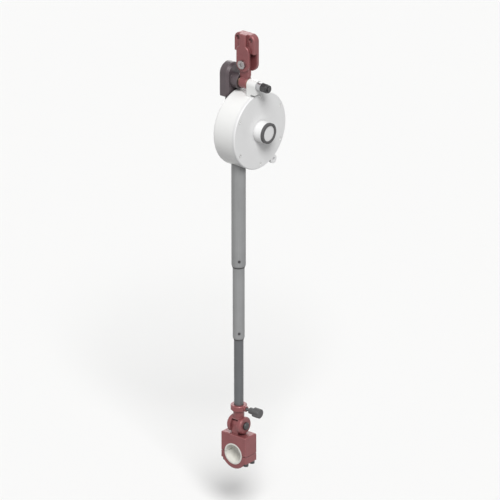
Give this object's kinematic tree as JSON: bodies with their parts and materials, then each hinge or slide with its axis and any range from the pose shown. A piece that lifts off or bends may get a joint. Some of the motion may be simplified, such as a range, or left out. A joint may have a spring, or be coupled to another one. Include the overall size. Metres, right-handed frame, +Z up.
{
  "type": "torque reaction arm",
  "caption": "Hanging telescopic torque reaction arm with a gimballed beam bracket, round spring-balancer housing, sliding tubes, swivel fork and split tool clamp.",
  "frame": {"origin": "midway between the two beam bolt holes, on the bracket's mounting face", "axes": "+Z up, +Y into the beam that the bracket is bolted to, +X along the beam"},
  "size_m": [0.112, 0.148, 0.865],
  "materials": {
    "red_anodised": "satin",
    "dark_casting": "satin",
    "white_enamel": "satin",
    "cover_grey": "satin",
    "tube_grey": "satin",
    "tube_dark": "satin",
    "bright_steel": "satin",
    "black_steel": "satin",
    "spring_steel": "satin",
    "bronze": "satin",
    "guide_plastic": "matte",
    "grip_plastic": "matte",
    "liner_plastic": "matte"
  },
  "bodies": {
    "mount": {"mount_bracket": "red_anodised", "swing_pin": "bright_steel"},
    "gimbal": {"gimbal_block": "red_anodised", "swing_bush": "bronze", "tilt_bushes": "bronze"},
    "balancer": {"carrier": "dark_casting", "carrier_screws": "black_steel", "tilt_pin": "black_steel", "tilt_spacer": "bright_steel", "tilt_washer": "bright_steel", "tilt_nut": "black_steel", "housing_back": "white_enamel", "housing_cover": "cover_grey", "hub_ring": "grip_plastic", "cover_screws": "bright_steel", "arbor": "bright_steel", "spiral_spring": "spring_steel", "outer_tube": "tube_grey", "outer_guide": "guide_plastic", "outer_set_screw": "black_steel", "balancer_cable": "bright_steel"},
    "drum": {"cable_drum": "tube_grey", "drum_bushes": "bronze", "cable_wraps": "bright_steel"},
    "middle_arm": {"middle_tube": "tube_grey", "middle_slider": "guide_plastic", "middle_guide": "guide_plastic", "middle_set_screw": "black_steel"},
    "inner_arm": {"inner_tube": "tube_dark", "inner_slider": "guide_plastic", "cable_anchor": "bright_steel", "cable_ferrule": "bright_steel", "end_collar": "red_anodised", "stem_bush": "bronze"},
    "lock_knob": {"lock_stud": "black_steel", "lock_grip": "grip_plastic"},
    "swivel_head": {"swivel_fork": "red_anodised", "stem_ring": "spring_steel", "thrust_washer": "bronze", "pitch_pin": "black_steel", "pitch_nut": "black_steel"},
    "tool_holder": {"clamp_body": "red_anodised", "pitch_bush": "bronze", "clamp_cap": "red_anodised", "clamp_liners": "liner_plastic", "clamp_screws": "black_steel"}
  },
  "joints": [
    {"name": "swing_side", "type": "hinge", "parent": "mount", "child": "gimbal", "pos_m": [0, -0.0095, -0.048], "axis": [0, 1, 0], "range_deg": [-40, 40]},
    {"name": "swing_fore", "type": "hinge", "parent": "gimbal", "child": "balancer", "pos_m": [0, -0.0095, -0.086], "axis": [1, 0, 0], "range_deg": [-35, 35]},
    {"name": "telescope", "type": "slide", "parent": "balancer", "child": "middle_arm", "axis": [0, 0, 1], "range_m": [0, 0.128], "stiffness_N_per_m": 12, "springref_m": 0.5, "deforming": ["balancer_cable"]},
    {"name": "inner_slide", "type": "slide", "parent": "middle_arm", "child": "inner_arm", "axis": [0, 0, 1], "range_m": [0, 0.1285]},
    {"name": "drum_turn", "type": "hinge", "parent": "balancer", "child": "drum", "pos_m": [0, 0.0015, -0.178], "axis": [1, 0, 0], "range_deg": [-500, 0]},
    {"name": "lock_turn", "type": "hinge", "parent": "inner_arm", "child": "lock_knob", "pos_m": [0.03, -0.0295, -0.7325], "axis": [1, 0, 0], "range_deg": [0, 180]},
    {"name": "head_turn", "type": "hinge", "parent": "inner_arm", "child": "swivel_head", "pos_m": [0, -0.0295, -0.768], "axis": [0, 0, 1], "range_deg": [-170, 170]},
    {"name": "tool_pitch", "type": "hinge", "parent": "swivel_head", "child": "tool_holder", "pos_m": [0, -0.0295, -0.768], "axis": [1, 0, 0], "range_deg": [-60, 60]}
  ],
  "couplings": [
    {"joint": "inner_slide", "follows": "telescope", "ratio": 1},
    {"joint": "drum_turn", "follows": "telescope", "rad_per_m": -64.516}
  ]
}
